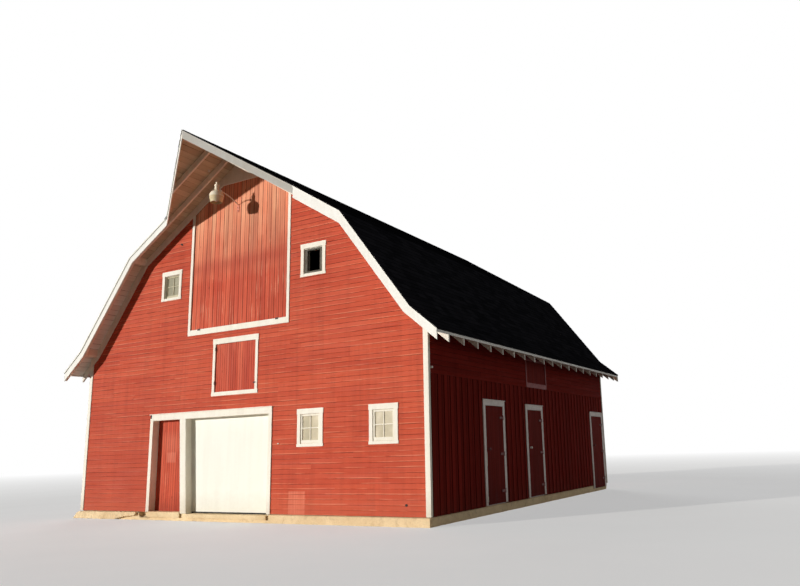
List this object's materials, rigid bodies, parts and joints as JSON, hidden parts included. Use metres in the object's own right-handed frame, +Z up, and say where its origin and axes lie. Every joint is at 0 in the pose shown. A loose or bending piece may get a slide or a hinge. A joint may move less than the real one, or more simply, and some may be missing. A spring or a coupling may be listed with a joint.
{
  "type": "gambrel barn",
  "caption": "Red gambrel barn with a pointed hay hood, flared eaves, open rafter tails, a broad front doorway and hinged side doors.",
  "frame": {"origin": "on the ground, midway between the four walls", "axes": "+X right seen from the front, +Y from the front gable to the back gable, +Z up"},
  "size_m": [11.118, 13.2438, 8.4473],
  "materials": {
    "concrete": "weathered cast concrete",
    "red_siding": "red painted boards, matt and weathered",
    "white_trim": "white painted boards, matt and weathered",
    "plain_boards": "bare sawn boards",
    "shingles": "dark mineral-faced roof shingles",
    "dark_door": "dark red painted boards",
    "faded_door": "faded red painted boards",
    "window_glass": "old clear window glass",
    "cream_metal": "cream enamel on sheet metal"
  },
  "bodies": {
    "barn": {"foundation": "concrete", "floor_slab": "concrete", "front_ledge": "concrete", "front_sills": "concrete", "front_wall_left": "red_siding", "front_wall_right": "red_siding", "front_gable_wall": "red_siding", "back_wall": "red_siding", "back_gable_wall": "red_siding", "left_wall": "red_siding", "right_wall_panels": "red_siding", "right_wall_upper": "red_siding", "lap_siding": "red_siding", "loft_floor": "plain_boards", "roof_boards_upper_left": "plain_boards", "roof_boards_upper_right": "plain_boards", "roof_boards_lower_left": "plain_boards", "roof_boards_lower_right": "plain_boards", "shingles_left": "shingles", "shingles_right": "shingles", "ridge_board": "plain_boards", "rafters_left": "white_trim", "rafters_right": "white_trim", "outer_rafters": "white_trim", "eave_blocks": "red_siding", "eave_boards": "white_trim", "rake_boards": "white_trim", "hood_boards": "white_trim", "gable_frieze": "white_trim", "corner_boards": "white_trim", "front_door_frame": "white_trim", "garage_door": "white_trim", "side_door_frames": "white_trim", "window_frames": "white_trim", "window_sashes": "white_trim", "window_glass": "window_glass", "old_window_frame": "plain_boards", "hay_door": "faded_door", "loft_door": "faded_door", "gable_door_trim": "white_trim", "side_hatch": "dark_door", "lamp_arm": "cream_metal", "lamp_head": "cream_metal"},
    "front_door": {"front_door": "red_siding"},
    "side_door_front": {"side_door_front": "dark_door"},
    "side_door_middle": {"side_door_middle": "dark_door"},
    "side_door_rear": {"side_door_rear": "dark_door"}
  },
  "joints": [
    {"name": "front_door_hinge", "type": "hinge", "parent": "barn", "child": "front_door", "pos_m": [-2.6015, -5.2752, 1.2], "axis": [0, 0, 1], "range_deg": [0, 100]},
    {"name": "side_door_front_hinge", "type": "hinge", "parent": "barn", "child": "side_door_front", "pos_m": [5.1123, -2.213, 1.2], "axis": [0, 0, 1], "range_deg": [0, 110]},
    {"name": "side_door_middle_hinge", "type": "hinge", "parent": "barn", "child": "side_door_middle", "pos_m": [5.1123, 0.135, 1.2], "axis": [0, 0, 1], "range_deg": [0, 110]},
    {"name": "side_door_rear_hinge", "type": "hinge", "parent": "barn", "child": "side_door_rear", "pos_m": [5.1123, 5.235, 1.2], "axis": [0, 0, 1], "range_deg": [0, 110]}
  ]
}
